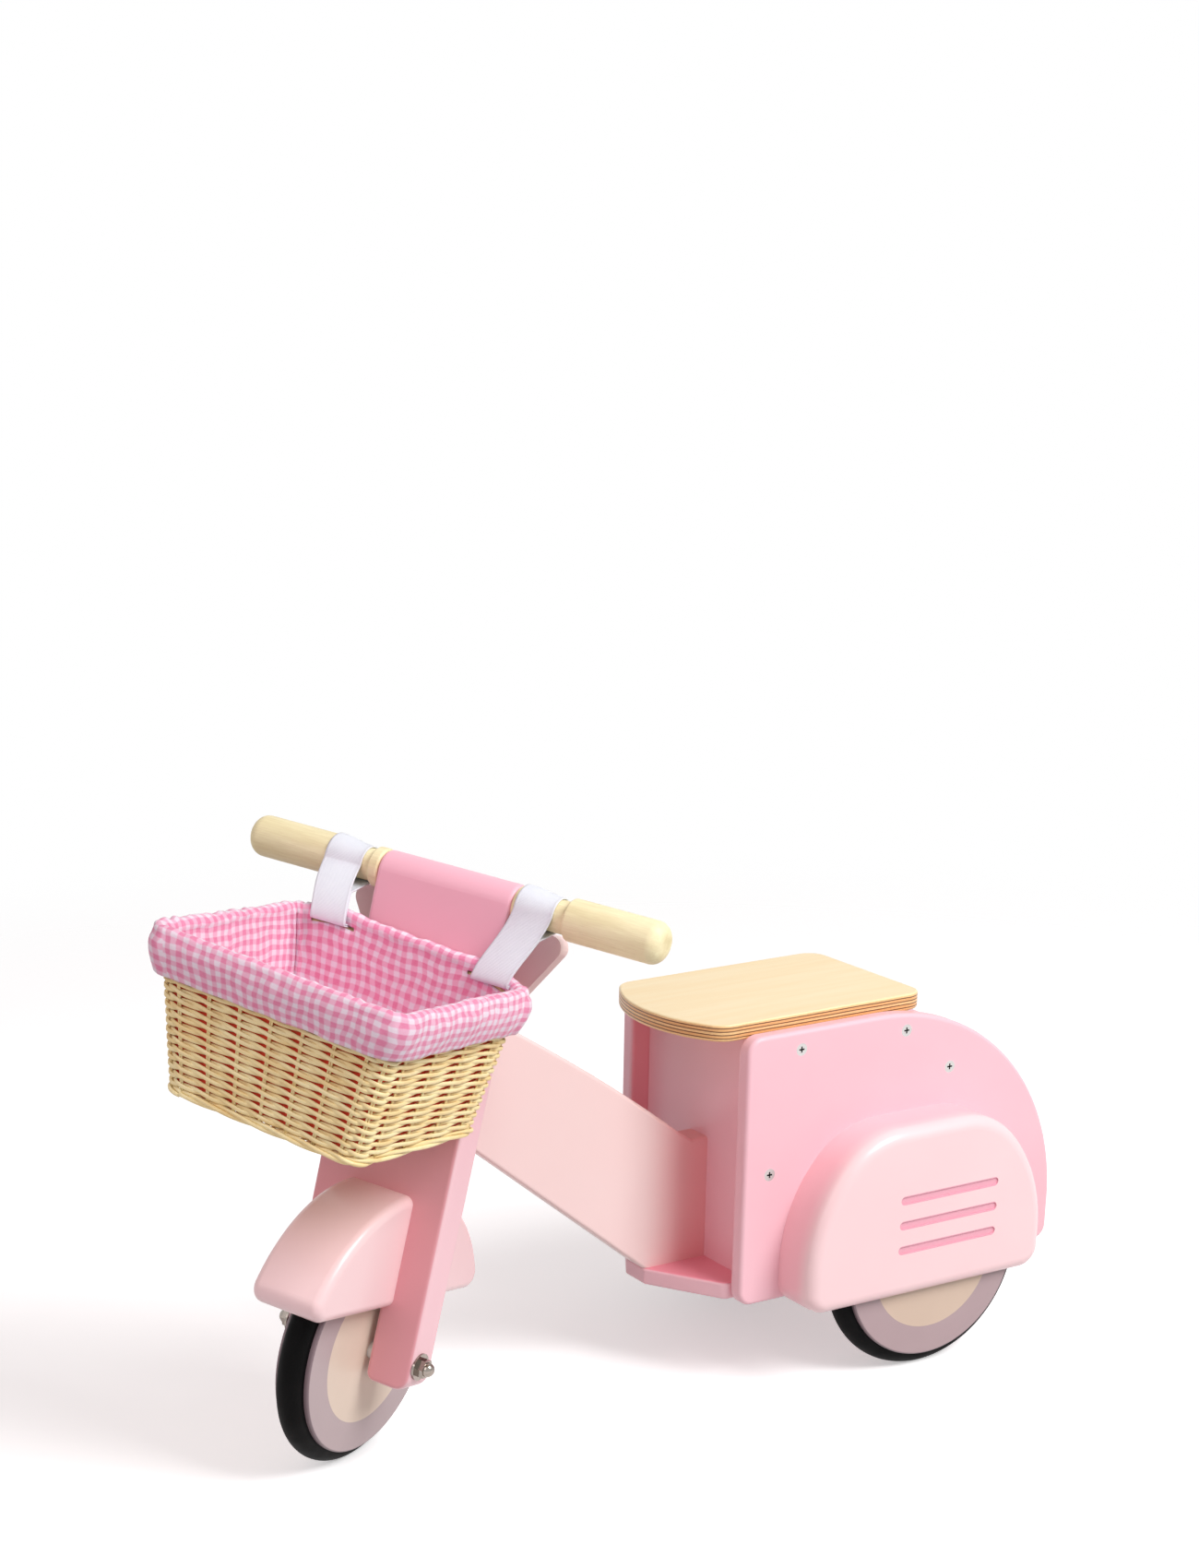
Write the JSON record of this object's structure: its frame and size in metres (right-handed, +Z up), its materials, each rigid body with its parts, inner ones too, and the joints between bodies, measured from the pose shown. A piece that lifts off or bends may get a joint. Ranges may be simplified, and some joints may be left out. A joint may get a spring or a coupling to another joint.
{
  "type": "ride-on scooter",
  "caption": "Wooden ride-on scooter with disc wheels, a steering fork board with turned handles, a plywood seat, pods over the rear wheels and a lined wicker basket.",
  "frame": {"origin": "on the floor under the middle of the overall box, with the fork turned as at rest", "axes": "+X to the scooter's front along its body, +Y to the rider's left, +Z up, square to the seat"},
  "size_m": [0.7824, 0.341, 0.4634],
  "materials": {
    "painted_body": "satin paint",
    "painted_pod": "satin paint",
    "plywood": "clear varnish",
    "bare_wood": "sanded",
    "wheel_paint": "satin paint",
    "tyre_rubber": "matt",
    "bush_plastic": "plain",
    "steel": "zinc plated",
    "bright_steel": "bright nickel",
    "wicker": "natural cane",
    "gingham": "pink and white check",
    "webbing": "woven band"
  },
  "bodies": {
    "body": {"beam_bolts": "steel", "floor_plate": "painted_body", "front_wall": "painted_body", "main_beam": "painted_body", "panel_screws_left": "bright_steel", "panel_screws_right": "bright_steel", "rear_axle": "steel", "rear_axle_caps": "steel", "rear_wall": "painted_body", "rear_washers": "bush_plastic", "seat_batten_left": "bare_wood", "seat_batten_right": "bare_wood", "seat_board": "plywood", "side_panel_left": "painted_body", "side_panel_right": "painted_body", "side_pod_left": "painted_pod", "side_pod_right": "painted_pod", "steering_bush": "bush_plastic"},
    "front_fork": {"fork_board": "painted_body", "yoke_board": "painted_body", "yoke_screws": "bright_steel", "handle_left": "bare_wood", "handle_right": "bare_wood", "mudguard_front": "painted_pod", "mudguard_rear": "painted_pod", "front_axle": "steel", "front_spacers": "bush_plastic", "axle_washers": "bright_steel", "dome_nut_left": "bright_steel", "dome_nut_right": "bright_steel", "steering_lug_lower": "painted_body", "steering_lug_upper": "painted_body", "steering_bolt": "steel", "steering_washers": "steel", "steering_nut": "steel"},
    "front_wheel": {"front_wheel_disc": "wheel_paint", "front_wheel_tyre": "tyre_rubber", "front_wheel_bush": "bush_plastic"},
    "rear_wheel_left": {"rear_wheel_disc_left": "wheel_paint", "rear_wheel_tyre_left": "tyre_rubber", "rear_wheel_bush_left": "bush_plastic"},
    "rear_wheel_right": {"rear_wheel_disc_right": "wheel_paint", "rear_wheel_tyre_right": "tyre_rubber", "rear_wheel_bush_right": "bush_plastic"},
    "basket": {"basket_wicker": "wicker", "basket_liner": "gingham", "strap_left": "webbing", "strap_right": "webbing"}
  },
  "joints": [
    {"name": "steering", "type": "hinge", "parent": "body", "child": "front_fork", "pos_m": [0.1716, -0.04147, 0.07635], "axis": [-0.2368, 0, 0.9715], "range_deg": [-68.4, 11.6]},
    {"name": "front_wheel_spin", "type": "hinge", "parent": "front_fork", "child": "front_wheel", "pos_m": [0.23775, -0.00466, 0.09248], "axis": [-0.4621, 0.8796, -0.1126], "continuous": true},
    {"name": "rear_wheel_left_spin", "type": "hinge", "parent": "body", "child": "rear_wheel_left", "pos_m": [-0.2442, 0.06243, 0.093], "axis": [0, 1, 0], "continuous": true},
    {"name": "rear_wheel_right_spin", "type": "hinge", "parent": "body", "child": "rear_wheel_right", "pos_m": [-0.2442, -0.14537, 0.093], "axis": [0, 1, 0], "continuous": true},
    {"name": "basket_swing", "type": "hinge", "parent": "front_fork", "child": "basket", "pos_m": [0.15209, -0.00651, 0.42938], "axis": [0.4621, -0.8796, 0.1126], "range_deg": [0, 50]}
  ]
}
